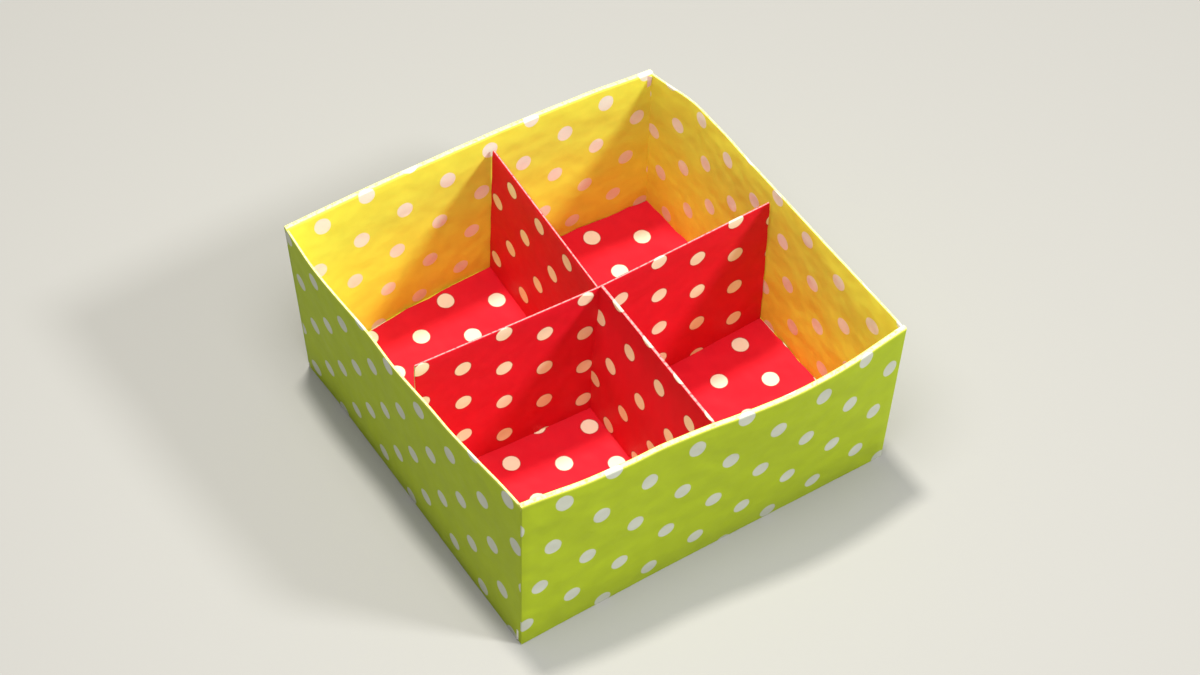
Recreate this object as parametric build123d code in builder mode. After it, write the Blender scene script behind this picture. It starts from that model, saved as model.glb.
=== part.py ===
from build123d import *
import math
import os

# A small origami box with a divider. Each is one square sheet of printed paper, folded
# without a cut. The origin is the centre of the underside, the rims of the two corner walls
# face +X and -X, and the rims of the two wrap walls face +Y and -Y.

# Paper
paper = 0.10  # one layer
layer_gap = 0.03  # air between two layers that are pressed together

# Outer box, a traditional masu: all of it follows from the sheet
box_sheet = 150.0  # side of the flat square sheet
rim_loop = 0.32  # width of a rim fold that encloses nothing
rim_round = 0.08  # bevel along both edges of every rim fold
bow_front = 1.6  # outward bow of the rim between the two corners of each wall
bow_back = 0.6
bow_left = 1.0
bow_right = 0.5
corner_reach = 5.0  # how far from a corner the bow of a corner wall sets in
flap_gap = 0.12  # between the raw edges of two neighbouring floor flaps

# What the hand does to the square outline, at the feet of the walls and at their rims: it
# shifts it, widens each half of it and racks its corners sideways, towards a lozenge
foot_shift_x = 0.1
foot_shift_y = 0.28
foot_widening_x = 0.60
foot_widening_y = -0.17
foot_rack_x = 0.35
foot_rack_y = 0.15
rim_shift_x = -0.2
rim_shift_y = 0.56
rim_widening_x = 0.70
rim_widening_y = -0.39
rim_rack_x = 0.9
rim_rack_y = 1.4

# Divider, a second sheet pleated along its middle lines
pleat_height = 24.1  # from the underside of the divider to its top fold
middle_x = 0.5  # where the four pleats meet
middle_y = 0.35
left_sway = 1.75  # how far the outer end of a pleat stands aside of the middle
right_sway = -0.05
back_sway = 1.3
pleat_gap = 0.12  # air between the two layers of a free pleat
wall_clearance = 0.30  # between the raw edges of the divider and the box
gusset_radius = 0.08  # inside the top fold that spans the flap's inner layers

# Masu proportions
box_side = box_sheet / (2 * math.sqrt(2))
wall_height = box_side / 2
half_side = box_side / 2
pitch = paper + layer_gap  # from one layer to the next

# From outside in, a wrap wall is sheet, gusset, both layers of a corner wall, gusset, sheet
wrap_depth = 4 * paper + 4 * layer_gap + rim_loop
pocket = 2 * pitch  # depth of the corner wall's sheet inside a wrap wall
corner_rim = wall_height - pocket
wrap_reach = half_side - rim_loop - layer_gap  # half width of the wrap wall's inner layer
floor_flap = pitch  # underside of the flaps that lie on the bottom layer
floor_top = floor_flap + paper
bow_hold = 4 / 3  # a cubic curve reaches three quarters of its control points
whole = (-half_side, half_side)
past_end = half_side + paper  # where a cut leaves the end of a wall
through = (-past_end, past_end)
fold_band = 2 * paper  # height of the strip that joins two layers along a slanted fold
fold_inset = paper / 4  # how far the upright folds of the wrap walls stay behind their edges
front_radius = gusset_radius + pitch


def at_height(foot, rim, z):
    """A value at one height, between the feet and the rims of the walls."""
    return foot + (rim - foot) * z / wall_height


def placed(x, y, z):
    """Where a point of a true square box stands in the one that the hand has racked."""
    across = x / half_side
    along = y / half_side
    rack_x = at_height(foot_rack_x, rim_rack_x, z)
    rack_y = at_height(foot_rack_y, rim_rack_y, z)
    shift_x = at_height(foot_shift_x, rim_shift_x, z)
    shift_y = at_height(foot_shift_y, rim_shift_y, z)
    widening_x = at_height(foot_widening_x, rim_widening_x, z)
    widening_y = at_height(foot_widening_y, rim_widening_y, z)
    new_x = x + shift_x + widening_x * across - rack_x * along
    new_y = y + shift_y + widening_y * along - rack_y * across
    return new_x, new_y


def wall_offset(bow, depth, product, z):
    """How far out the parabola of a wrap wall stands at one depth and height. The product is of
    the two places along the wall that the point belongs to, which are the same place on the
    curve itself and the curve's two ends at its control point."""
    return half_side - depth + bow * z / wall_height * (1 - product / half_side**2)


def wall_curve(side, bow, depth, start, end, z):
    """Plan curve of a wrap wall between two places along it, at one depth and one height."""
    points = [(start, start * start), ((start + end) / 2, start * end), (end, end * end)]
    return Bezier(*[placed(x, side * wall_offset(bow, depth, product, z), z) for x, product in points])


def wrap_slab(side, bow, depths, span, heights, mode=Mode.ADD):
    """Slab of a wrap wall between two depths, two places along it and two heights."""
    sections = []
    for z in heights:
        with BuildSketch(Plane.XY.offset(z)) as section:
            with BuildLine():
                near = wall_curve(side, bow, depths[0], *span, z)
                far = wall_curve(side, bow, depths[1], *span, z)
                Line(near @ 0, far @ 0)
                Line(near @ 1, far @ 1)
            make_face()
        sections.append(section.sketch)
    loft(sections, ruled=True, mode=mode)


def keep_panels(*panels):
    """Trim the part to outlines drawn in front elevation."""
    with BuildSketch(Plane.XZ) as elevation:
        for panel in panels:
            with BuildLine():
                Polyline(*panel, close=True)
            make_face()
    extrude(elevation.sketch, amount=box_side, both=True, mode=Mode.INTERSECT)


def trim_ends(side, bow, layers, height):
    """Cut a wrap wall's inner layers back at both ends, where the corner walls stand."""
    depths = (wrap_depth - layers - paper / 2, wrap_depth + paper)
    for hand in (-1, 1):
        span = (hand * wrap_reach, hand * past_end)
        wrap_slab(side, bow, depths, span, (0, height), Mode.SUBTRACT)


def wrap_cover(side, bow):
    """The sheet that goes up the outside of a wrap wall, over the rim and down the inside."""
    with BuildPart() as cover:
        wrap_slab(side, bow, (0, wrap_depth), whole, (0, wall_height))
        rim = cover.edges().group_by(Axis.Z)[-1].filter_by(lambda edge: edge.length > half_side)
        chamfer(rim, length=rim_round)
        wrap_slab(side, bow, (paper, wrap_depth - paper), through, (0, wall_height - paper), Mode.SUBTRACT)
        wrap_slab(side, bow, (wrap_depth / 2, wrap_depth + paper), through, (0, floor_flap), Mode.SUBTRACT)
        trim_ends(side, bow, paper, wall_height - paper)
    return cover.part


def gusset(side, bow):
    """Both corner triangles that are folded back behind a wrap wall, under its rim fold."""
    top = wall_height - pitch
    inside = pitch + paper
    right = [(half_side, 0), (box_side, 0), (box_side, wall_height), (0, wall_height)]
    left = [(-x, z) for x, z in right]
    with BuildPart() as gussets:
        wrap_slab(side, bow, (pitch, wrap_depth - pitch), whole, (0, top))
        wrap_slab(side, bow, (inside, wrap_depth - inside), through, (0, top - paper), Mode.SUBTRACT)
        keep_panels(right, left)
        trim_ends(side, bow, inside, top - paper)
    return gussets.part


def corner_curves(side, bow, depth, past, z):
    """Plan curves of a corner wall: half a leg behind each wrap wall and the wall between them.
    The legs start at the middle of the box, or past it by a margin for a cut."""
    reach = half_side - depth
    front = wall_offset(bow_front, pocket + depth, reach**2, z)
    back = wall_offset(bow_back, pocket + depth, reach**2, z)
    bulge = reach + bow_hold * bow * z / wall_height
    between = [(reach, -front), (bulge, corner_reach - front), (bulge, back - corner_reach), (reach, back)]
    front_leg = wall_curve(-1, bow_front, pocket + depth, -side * past, side * reach, z)
    Bezier(*[placed(side * x, y, z) for x, y in between])
    back_leg = wall_curve(1, bow_back, pocket + depth, side * reach, -side * past, z)
    return front_leg @ 0, back_leg @ 1


def corner_slab(side, bow, depths, past, heights, mode=Mode.ADD):
    """Slab of a corner wall and its legs between two depths and two heights."""
    sections = []
    for z in heights:
        with BuildSketch(Plane.XY.offset(z)) as section:
            with BuildLine():
                near_front, near_back = corner_curves(side, bow, depths[0], past, z)
                far_front, far_back = corner_curves(side, bow, depths[1], past, z)
                Line(near_front, far_front)
                Line(near_back, far_back)
            make_face()
        sections.append(section.sketch)
    loft(sections, ruled=True, mode=mode)


def corner_wall(side, bow):
    """A corner wall, two layers joined at the rim, with the triangles that it sends round
    both corners into the wrap walls."""
    with BuildPart() as wall:
        corner_slab(side, bow, (0, rim_loop), 0, (0, corner_rim))
        rim = wall.edges().group_by(Axis.Z)[-1].filter_by(lambda edge: edge.length > rim_loop * 2)
        chamfer(rim, length=rim_round)
        corner_slab(side, bow, (paper, rim_loop - paper), paper, (0, corner_rim - paper), Mode.SUBTRACT)
        corner_slab(side, bow, (rim_loop / 2, rim_loop + paper), paper, (0, floor_flap), Mode.SUBTRACT)
        for end in (-1, 1):
            leg_side = end * (half_side - corner_reach)
            with BuildSketch(Plane.XZ.offset(-leg_side)):
                with BuildLine():
                    far = -side * box_side
                    Polyline(
                        (far, 0),
                        (side * half_side, 0),
                        (0, wall_height),
                        (far, wall_height),
                        close=True,
                    )
                make_face()
            extrude(amount=-end * wall_height, mode=Mode.SUBTRACT)
    return wall.part


def fold_strips(side, bow, outer, inner, reach, low):
    """The folds that close two layers of a wrap wall along both of its upright edges."""
    depths = (outer + paper / 2, inner + paper / 2)
    with BuildPart() as strips:
        for hand in (-1, 1):
            span = (hand * (reach - fold_inset - paper), hand * (reach - fold_inset))
            wrap_slab(side, bow, depths, span, (low, wall_height - pitch))
    return strips.part


def gusset_folds(side, bow):
    """The slanted folds that join each gusset to the leg of a corner wall in front of it."""
    right = [(half_side, 0), (half_side, fold_band), (0, wall_height + fold_band), (0, wall_height)]
    left = [(-x, z) for x, z in right]
    with BuildPart() as folds:
        wrap_slab(side, bow, (pitch + paper / 2, pocket + paper / 2), whole, (0, corner_rim))
        keep_panels(right, left)
    return folds.part


def wrap_wall(side, bow):
    """Every layer of a wrap wall that isn't the corner walls' own."""
    return [
        wrap_cover(side, bow),
        gusset(side, bow),
        fold_strips(side, bow, 0, pitch, half_side, 0),
        fold_strips(side, bow, wrap_depth - pitch - paper, wrap_depth - paper, wrap_reach, floor_flap),
        gusset_folds(side, bow),
    ]


# Outer box: bottom layer, four walls and the four flaps whose tips meet on the bottom
inner_x = half_side - rim_loop
inner_y = half_side - wrap_depth
walls = wrap_wall(-1, bow_front) + wrap_wall(1, bow_back)
walls += [corner_wall(-1, bow_left), corner_wall(1, bow_right)]

with BuildPart() as folded_box:
    with BuildSketch(Plane.XY):
        with BuildLine():
            reach = half_side - paper / 2
            corners = [(-reach, -reach), (reach, -reach), (reach, reach), (-reach, reach)]
            Polyline(*[placed(x, y, 0) for x, y in corners], close=True)
        make_face()
    extrude(amount=paper)
    for layer in walls:
        add(layer)
    with BuildSketch(Plane.XY.offset(floor_flap)):
        for side in (-1, 1):
            foot = side * (inner_x + paper)
            spread = inner_y - flap_gap
            corner_flap = [(foot, -spread), (foot, spread), (side * flap_gap, 0)]
            foot = side * (inner_y + paper)
            spread = inner_x - flap_gap
            wrap_flap = [(-spread, foot), (spread, foot), (0, side * flap_gap)]
            for flap in (corner_flap, wrap_flap):
                with BuildLine():
                    Polyline(*[placed(x, y, floor_flap) for x, y in flap], close=True)
                make_face()
    extrude(amount=paper)
folded_box.part.label = "folded_box"

# Divider: the pleats of the sheet meet over its middle, whose square folds flat into a
# triangle of eight layers. From the middle of the stack outwards they are the back pleat's,
# which run straight on, the side pleats' two, which turn to the front, and the gusset's,
# which fold back inside the front pleat. The front pleat's own layers hold them all. The
# pleats are drawn about that middle and moved to its place in the box at the end.
stack = ("back", "side inner", "side outer", "gusset", "front")
base = floor_top
front_top = base + pleat_height
gusset_top = front_top - pitch
pleat_top = gusset_top - pitch
reach_x = inner_x - wall_clearance
reach_y = inner_y - wall_clearance
left_x = placed(-reach_x, 0, base)[0]
right_x = placed(reach_x, 0, base)[0]
front_y = placed(0, -reach_y, base)[1]
back_y = placed(0, reach_y, base)[1]
fold_face = pleat_gap / 2 + paper  # outer face of a free pleat
front_start = -fold_face - layer_gap  # the front pleat's layers turn back here
tip = front_start - (pleat_top - base)  # of the flap, inside the front pleat


def slot(name):
    """Inner face of a layer of the stack, measured from its middle."""
    return pleat_gap / 2 + stack.index(name) * pitch


def facing_front(x, y):
    """Upright plane across a pleat that runs to the front from one point."""
    return Plane(origin=(x, y, 0), x_dir=(1, 0, 0), z_dir=(0, -1, 0))


def pleat_outline(half_width, crest, radius):
    """Upright outline across a pleat, with round top corners where it has a radius."""
    corners = [(-half_width, base), (-half_width, crest), (half_width, crest), (half_width, base)]
    if radius:
        FilletPolyline(*corners, radius=radius)
    else:
        Polyline(*corners)
    Line(corners[-1], corners[0])


def pleat(start, run, gap, top, in_flap, inner_radius=0):
    """Two layers joined by a fold along their top, drawn across the pleat on the plane where
    it starts and drawn out along its run. In the flap they end at the slanted fold that runs
    from the divider's middle."""
    outer_radius = inner_radius + paper if inner_radius else 0
    with BuildPart() as layers:
        with BuildSketch(start) as section:
            with BuildLine():
                pleat_outline(gap / 2 + paper, top, outer_radius)
            make_face()
            with BuildLine():
                pleat_outline(gap / 2, top - paper, inner_radius)
            make_face(mode=Mode.SUBTRACT)
        way = Vector(*run)
        extrude(section.sketch, amount=way.length, dir=way.normalized())
        if in_flap:
            with BuildSketch(Plane.YZ) as under_fold:
                with BuildLine():
                    Polyline((front_start, base), (tip, base), (tip, pleat_top), close=True)
                make_face()
            extrude(under_fold.sketch, amount=half_side, both=True, mode=Mode.SUBTRACT)
    return layers.part


def side_pleat(side, end_x, sway):
    """A left or right pleat, which turns the corner at the middle into its part of the flap."""
    inner = slot("side inner")
    outer = slot("side outer")
    run_start = Plane(origin=(side * inner, 0, 0), x_dir=(0, side, 0), z_dir=(side, 0, 0))
    flap_start = facing_front(side * (inner + paper + layer_gap / 2), fold_face)
    to_end = (end_x - middle_x - side * inner, sway, 0)
    run = pleat(run_start, to_end, pleat_gap, pleat_top, in_flap=False)
    flap = pleat(flap_start, (0, tip - fold_face, 0), layer_gap, pleat_top, in_flap=True)
    with BuildPart() as turned:
        add(run)
        add(flap)
        with BuildSketch(Plane.XY.offset(base)) as channel:
            with Locations((side * (inner + paper + outer + paper) / 2, 0)):
                Rectangle(outer - inner, pleat_gap)
            with Locations((side * (inner + paper + outer) / 2, -fold_face / 2)):
                Rectangle(layer_gap, fold_face)
        extrude(channel.sketch, amount=pleat_top - paper - base, mode=Mode.SUBTRACT)
    return turned.part


def upright_fold():
    """The folds along the middle of the divider, where the gusset turns back into the flap."""
    with BuildPart() as folds:
        with BuildSketch(Plane.XY.offset(base)) as section:
            with GridLocations(slot("gusset") + slot("front") + paper, 0, 2, 1):
                with Locations((0, front_start - paper / 2)):
                    Rectangle(pitch, paper)
        extrude(section.sketch, amount=gusset_top - base - gusset_radius - paper)
    return folds.part


def slanted_folds(name):
    """The slanted folds, on both sides, between a layer of the flap and the next one out."""
    with BuildPart() as folds:
        for side in (-1, 1):
            with BuildSketch(Plane.YZ.offset(side * (slot(name) + paper / 2))) as elevation:
                with BuildLine():
                    Polyline(
                        (front_start, base),
                        (front_start, base + fold_band),
                        (tip + fold_band, pleat_top),
                        (tip, pleat_top),
                        close=True,
                    )
                make_face()
            extrude(elevation.sketch, amount=side * pitch)
    return folds.part


back_plane = facing_front(0, fold_face)
front_plane = facing_front(0, front_start)
back_run = (back_sway, back_y - middle_y - fold_face, 0)
back_flap = (0, tip - fold_face, 0)
gusset_run = (0, tip - front_start, 0)
front_run = (0, front_y - middle_y - front_start, 0)
pleats = [
    pleat(back_plane, back_run, 2 * slot("back"), pleat_top, in_flap=False),
    pleat(back_plane, back_flap, 2 * slot("back"), pleat_top, in_flap=True),
    side_pleat(-1, left_x, left_sway),
    side_pleat(1, right_x, right_sway),
    pleat(front_plane, gusset_run, 2 * slot("gusset"), gusset_top, in_flap=True, inner_radius=gusset_radius),
    pleat(front_plane, front_run, 2 * slot("front"), front_top, in_flap=False, inner_radius=front_radius),
    upright_fold(),
    slanted_folds("back"),
    slanted_folds("side outer"),
]

with BuildPart() as divider:
    with BuildSketch(Plane.XY.offset(base)):
        for side, end_x, sway in ((-1, left_x, left_sway), (1, right_x, right_sway)):
            for back, end_y, drift in ((-1, front_y, 0), (1, back_y, back_sway)):
                layer = side * (slot("back") if back == 1 else slot("front"))
                half_gap = back * pleat_gap / 2
                with BuildLine():
                    Polyline(
                        (middle_x + layer, middle_y + half_gap),
                        (end_x, middle_y + sway + half_gap),
                        placed(side * reach_x, back * reach_y, base),
                        (middle_x + drift + layer, end_y),
                        close=True,
                    )
                make_face()
    extrude(amount=paper)
    with Locations((middle_x, middle_y, 0)):
        for layers in pleats:
            add(layers)
divider.part.label = "divider"

os.makedirs("parts", exist_ok=True)
export_step(folded_box.part, "parts/folded_box.step")
export_step(divider.part, "parts/divider.step")
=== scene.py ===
"""Looks of a small origami box with a pleated divider.

The outer box is a traditional masu fold of lime paper with white dots, and the divider is a
pleated cross of red paper with cream dots. The box starts as flat strips of its sheet that get
their printed pattern first and are then folded. The divider starts as folded squares, which are
joined and printed as one sheet. Both are then bent a little out of true. Lengths are in
millimetres, and the modeller takes them in metres.
"""

import logging
import math
from dataclasses import dataclass, field
from enum import Enum
from typing import Any, Callable, Optional

import bpy
from mathutils import Matrix, Vector


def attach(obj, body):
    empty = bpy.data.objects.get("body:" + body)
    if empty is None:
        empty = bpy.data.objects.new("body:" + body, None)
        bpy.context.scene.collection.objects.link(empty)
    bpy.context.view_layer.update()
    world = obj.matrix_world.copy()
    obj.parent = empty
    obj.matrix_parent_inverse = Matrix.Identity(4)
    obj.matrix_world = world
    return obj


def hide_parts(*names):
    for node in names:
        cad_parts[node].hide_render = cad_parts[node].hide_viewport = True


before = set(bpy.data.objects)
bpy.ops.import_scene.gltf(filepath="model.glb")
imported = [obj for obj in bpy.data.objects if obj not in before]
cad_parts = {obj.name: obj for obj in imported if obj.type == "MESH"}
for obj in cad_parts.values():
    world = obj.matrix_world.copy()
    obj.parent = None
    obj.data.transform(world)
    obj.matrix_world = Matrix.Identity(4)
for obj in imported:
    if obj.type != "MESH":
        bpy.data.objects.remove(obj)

MM = 0.001  # a millimetre in metres
NEAR = 0.004  # millimetres within which two places count as one
CUT_WIDTH = 1e-7  # metres within which a score runs through a corner that is there already
SEAM_WIDTH = 1e-6  # metres within which the corners of joined strips merge
SHARP_ANGLE = 35.0  # degrees from which a crease looks sharp
BOX_SHEET = 150.0  # side of the flat square sheet that the box is folded from
CREST = 60.0  # where the top of each pleat lies in the divider's sheet map
LOG = logging.getLogger("origami_box")

Colour = tuple[float, float, float, float]
Pair = tuple[float, float]
Stops = tuple[tuple[float, str], ...]
Tree = bpy.types.NodeTree
Socket = bpy.types.NodeSocket
Values = Optional[dict[Any, Any]]
Row = tuple[float, ...]
Spot = tuple[Pair, float]
Place = Callable[[Vector], bool]
Facing = Callable[[Vector, Vector], bool]
Rule = Callable[[Vector, Vector, Vector], Pair]


def linear(code: str) -> Colour:
    """Turn an sRGB hex colour into the linear colour that the shaders use.

    Args:
        code: Six hex digits after a hash sign.

    Returns:
        Red, green, blue and an alpha of 1.
    """
    parts = [int(code[i : i + 2], 16) / 255 for i in (1, 3, 5)]
    red, green, blue = (p / 12.92 if p <= 0.04045 else ((p + 0.055) / 1.055) ** 2.4 for p in parts)
    return red, green, blue, 1.0


def add_node(tree: Tree, kind: str, settings: Values = None, inputs: Values = None) -> bpy.types.Node:
    """Add one node with its settings, and link or set its inputs.

    Args:
        tree: The node tree.
        kind: The node's type name.
        settings: Values for the node's own properties.
        inputs: For each socket name or number, a node's output or a plain value.

    Returns:
        The new node.
    """
    node = tree.nodes.new(kind)
    for name, value in (settings or {}).items():
        setattr(node, name, value)
    for name, value in (inputs or {}).items():
        if isinstance(value, Socket):
            tree.links.new(value, node.inputs[name])
        else:
            node.inputs[name].default_value = value
    return node


def empty_tree(owner: bpy.types.ID) -> Tree:
    """Give a material or a world a node tree with nothing in it."""
    owner.use_nodes = True
    owner.node_tree.nodes.clear()
    return owner.node_tree


def near(first: float, second: float) -> bool:
    """Whether two places along an axis count as one."""
    return abs(first - second) < NEAR


def anywhere(place: Vector) -> bool:
    """Pick every place."""
    return True


def clear_bench() -> None:
    """Leave edit mode and deselect everything, so that an operator acts only on what it should."""
    if bpy.context.object and bpy.context.object.mode == "EDIT":
        bpy.ops.object.mode_set(mode="OBJECT")
    bpy.ops.object.select_all(action="DESELECT")


class Axis(Enum):
    """An axis to turn about."""

    X = "X"
    Z = "Z"


class Side(Enum):
    """A side of the box, by how far it is turned from the front about the vertical."""

    FRONT = 0
    RIGHT = 90
    BACK = 180
    LEFT = 270

    def turn(self, place: Vector) -> Vector:
        """Carry a place on the front side round to this side."""
        return Matrix.Rotation(math.radians(self.value), 3, "Z") @ place

    @property
    def wraps(self) -> bool:
        """Whether this side's wall wraps over the corner folds of its neighbours."""
        return self in (Side.FRONT, Side.BACK)


class Workpiece:
    """A mesh on the bench, shaped in edit mode with the modeller's own operators."""

    offset_clamp = 1.5  # how far a thickened corner may run out, in lengths of its shortest edge

    def __init__(self, piece: bpy.types.Object, name: str) -> None:
        """Take a new primitive, name it and bring its place into its mesh.

        Args:
            piece: The primitive.
            name: Name of the piece.
        """
        self.piece = piece
        piece.name = name
        piece.data.name = name
        bpy.ops.object.transform_apply(location=True, rotation=True, scale=True)

    @classmethod
    def flat_sheet(cls, name: str, width: float, length: float, columns: int) -> "Workpiece":
        """Lay out a flat strip that runs from the origin to the front, printed side down.

        Args:
            name: Name of the piece.
            width: Size across the front.
            length: Size from the origin to the front.
            columns: Number of columns across.

        Returns:
            The strip.
        """
        clear_bench()
        bpy.ops.mesh.primitive_grid_add(
            x_subdivisions=columns, y_subdivisions=1, size=MM, location=(0, -length / 2 * MM, 0)
        )
        bpy.context.object.scale = (width, length, 1)
        work = cls(bpy.context.object, name)
        work.flip()
        return work

    @classmethod
    def block(cls, name: str, start: Vector, end: Vector) -> "Workpiece":
        """Make a box between two opposite corners.

        Args:
            name: Name of the piece.
            start: One corner.
            end: The opposite corner.

        Returns:
            The box.
        """
        clear_bench()
        bpy.ops.mesh.primitive_cube_add(size=MM, location=(start + end) / 2 * MM)
        bpy.context.object.scale = [abs(span) for span in end - start]
        return cls(bpy.context.object, name)

    def flip(self) -> None:
        """Turn every face over."""
        self.select(anywhere)
        bpy.ops.mesh.flip_normals()

    def select(self, test: Place, faces: bool = False) -> int:
        """Select by place, in millimetres, and stay in edit mode.

        Args:
            test: Which places are chosen.
            faces: Choose whole faces by their middles, and not vertices.

        Returns:
            How many were chosen.
        """
        clear_bench()
        self.hold()
        bpy.context.tool_settings.mesh_select_mode = (not faces, False, faces)
        mesh = self.piece.data
        if faces:
            face_flags = [test(face.center / MM) for face in mesh.polygons]
            chosen = [face for face, on in zip(mesh.polygons, face_flags) if on]
            held = {v for face in chosen for v in face.vertices}
            rims = {k for face in chosen for k in face.edge_keys}
            flags = [v.index in held for v in mesh.vertices]
            edge_flags = [edge.key in rims for edge in mesh.edges]
        else:
            flags = [test(v.co / MM) for v in mesh.vertices]
            edge_flags = [flags[a] and flags[b] for a, b in (edge.vertices for edge in mesh.edges)]
            face_flags = [all(flags[v] for v in face.vertices) for face in mesh.polygons]
        mesh.vertices.foreach_set("select", flags)
        mesh.edges.foreach_set("select", edge_flags)
        mesh.polygons.foreach_set("select", face_flags)
        bpy.ops.object.mode_set(mode="EDIT")
        return sum(face_flags if faces else flags)

    def hold(self) -> None:
        """Make the whole piece the one that operators act on."""
        self.piece.select_set(True)
        bpy.context.view_layer.objects.active = self.piece

    def score(self, place: Vector, across: Vector, test: Place = anywhere, cut: bool = False) -> None:
        """Score a straight line into the faces, or cut off what lies beyond it.

        Args:
            place: A point on the line.
            across: The direction across it.
            test: Which faces it crosses, by their middles.
            cut: Take away the side that the direction points to.
        """
        if self.select(test, faces=True):
            bpy.ops.mesh.bisect(plane_co=place * MM, plane_no=across, threshold=CUT_WIDTH)
        if cut:
            self.remove_faces(lambda middle: test(middle) and (middle - place).dot(across) > 0)

    def turn(self, test: Place, crease: Vector, axis: Axis, degrees: float) -> None:
        """Fold what the test picks about a crease, right-handed, where the operator is left-handed."""
        self.select(test)
        about = {"orient_axis": axis.value, "orient_type": "GLOBAL", "center_override": crease * MM}
        bpy.ops.transform.rotate(value=-math.radians(degrees), **about)

    def soften(self, test: Place, radius: float, segments: int) -> None:
        """Round the creases whose ends the test picks."""
        if self.select(test):
            bpy.ops.mesh.bevel(offset=radius * MM, segments=segments, affect="EDGES", clamp_overlap=True)

    def extrude(self, test: Place, by: Vector) -> None:
        """Draw out the edges that the test picks."""
        if self.select(test):
            bpy.ops.mesh.extrude_edges_move(TRANSFORM_OT_translate={"value": by * MM})

    def fill(self, test: Place) -> None:
        """Close one face over the vertices that the test picks."""
        self.select(test)
        bpy.ops.mesh.edge_face_add()

    def bridge(self, test: Place) -> None:
        """Join two open rows of edges with a strip of faces."""
        self.select(test)
        bpy.ops.mesh.bridge_edge_loops()

    def remove_faces(self, test: Place) -> None:
        """Take away the faces whose middles the test picks."""
        if self.select(test, faces=True):
            bpy.ops.mesh.delete(type="FACE")

    def take_in(self, others: list["Workpiece"]) -> None:
        """Join other workpieces to this one and merge the seams where they meet.

        Args:
            others: The workpieces, which stop being pieces of their own.
        """
        clear_bench()
        for other in others:
            other.piece.select_set(True)
        self.hold()
        bpy.ops.object.join()
        self.select(anywhere)
        bpy.ops.mesh.remove_doubles(threshold=SEAM_WIDTH)
        bpy.ops.object.mode_set(mode="OBJECT")

    def shift_points(self, move: Callable[[Vector], Vector]) -> None:
        """Press the surface: every point moves by what the function gives for it."""
        bpy.ops.object.mode_set(mode="OBJECT")
        for point in self.piece.data.vertices:
            point.co += move(point.co / MM) * MM

    def write_map(self, name: str, rule: Rule, only: Optional[Facing] = None) -> None:
        """Write a map of the flat sheet, in millimetres, for patterns that follow the paper.

        Args:
            name: Name of the map.
            rule: Gives the map's numbers for a point, its face's middle and its normal.
            only: Which faces are written. All of them without it.
        """
        bpy.ops.object.mode_set(mode="OBJECT")
        mesh = self.piece.data
        layer = mesh.uv_layers.get(name) or mesh.uv_layers.new(name=name)
        for face in mesh.polygons:
            middle, normal = face.center / MM, face.normal.copy()
            if only and not only(middle, normal):
                continue
            for loop in face.loop_indices:
                point = mesh.vertices[mesh.loops[loop].vertex_index].co / MM
                layer.data[loop].uv = rule(point, middle, normal)

    def bend(self, low: Vector, high: Vector, counts: tuple[int, int], smooth: bool,
             move: Callable[[int, int, int], Vector]) -> None:
        """Bend the piece with a lattice, and apply it.

        Args:
            low: Lowest corner of the lattice.
            high: Highest corner of the lattice.
            counts: Number of its points along X and along Y; there are two along Z.
            smooth: Let the surface run smoothly through them.
            move: Gives how far the point at three counts moves.
        """
        clear_bench()
        bpy.ops.object.add(type="LATTICE", location=(low + high) / 2 * MM)
        cage = bpy.context.object
        cage.scale = (high - low) * MM
        grid = cage.data
        grid.points_u, grid.points_v, grid.points_w = *counts, 2
        plan = "KEY_CARDINAL" if smooth else "KEY_LINEAR"
        grid.interpolation_type_u = grid.interpolation_type_v = plan
        grid.interpolation_type_w = "KEY_LINEAR"
        for number, point in enumerate(grid.points):
            across, rest = number % counts[0], number // counts[0]
            shift = move(across, rest % counts[1], rest // counts[1])
            point.co_deform = point.co + Vector(s / span for s, span in zip(shift, high - low))
        bpy.context.view_layer.update()
        bend = self.piece.modifiers.new("bend", "LATTICE")
        bend.object = cage
        self.apply(bend)
        bpy.data.objects.remove(cage)

    def apply(self, modifier: bpy.types.Modifier) -> None:
        """Apply one modifier."""
        clear_bench()
        self.hold()
        bpy.ops.object.modifier_apply(modifier=modifier.name)

    def thicken(self, paper: float, even: bool) -> None:
        """Give the sheet its thickness behind the printed side, and mark what isn't printed.

        Args:
            paper: Thickness of the paper.
            even: Keep the thickness the same round a crease.
        """
        printed = len(self.piece.data.polygons)
        solid = self.piece.modifiers.new("paper", "SOLIDIFY")
        solid.thickness = paper * MM
        solid.offset = -1
        solid.use_even_offset = even
        solid.thickness_clamp = self.offset_clamp
        self.apply(solid)
        mesh = self.piece.data
        bare = mesh.attributes.new("bare", "FLOAT", "FACE")
        flags = [float(printed <= i < 2 * printed) for i in range(len(mesh.polygons))]
        bare.data.foreach_set("value", flags)

    def finish(self, material: bpy.types.Material, slot: str, node: str) -> None:
        """Smooth, dress and hang the piece in the frame in place of its solid.

        Args:
            material: The paper.
            slot: The material's slot in the frame; not used.
            node: The solid that the piece stands for.
        """
        clear_bench()
        self.hold()
        bpy.ops.object.shade_smooth_by_angle(angle=math.radians(SHARP_ANGLE))
        self.piece.data.materials.clear()
        self.piece.data.materials.append(material)
        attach(self.piece, "root")
        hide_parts(node)
        LOG.info("%s: %d faces", self.piece.name, len(self.piece.data.polygons))


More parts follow.
